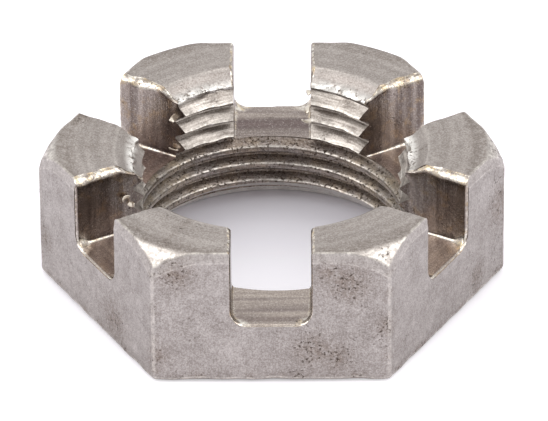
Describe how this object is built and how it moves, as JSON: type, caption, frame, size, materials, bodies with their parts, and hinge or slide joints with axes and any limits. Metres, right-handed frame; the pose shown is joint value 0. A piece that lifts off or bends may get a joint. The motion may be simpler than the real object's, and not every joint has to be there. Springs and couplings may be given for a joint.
{
  "type": "castle nut",
  "caption": "Thin hexagonal castle nut with a tapped through hole and radial slots between its prongs for a split pin.",
  "frame": {"origin": "on the thread's axis, in the plane of the flat bearing face", "axes": "+Z along the thread's axis out of the slotted end; +X towards a corner of the hexagon; +Y towards the middle of a flat"},
  "size_m": [0.042, 0.0366, 0.0133],
  "materials": {
    "plain_steel": "plain uncoated steel, turned crown, milled slots, light oxide and handling marks"
  },
  "bodies": {
    "root": {"castle_nut": "plain_steel"}
  },
  "joints": []
}
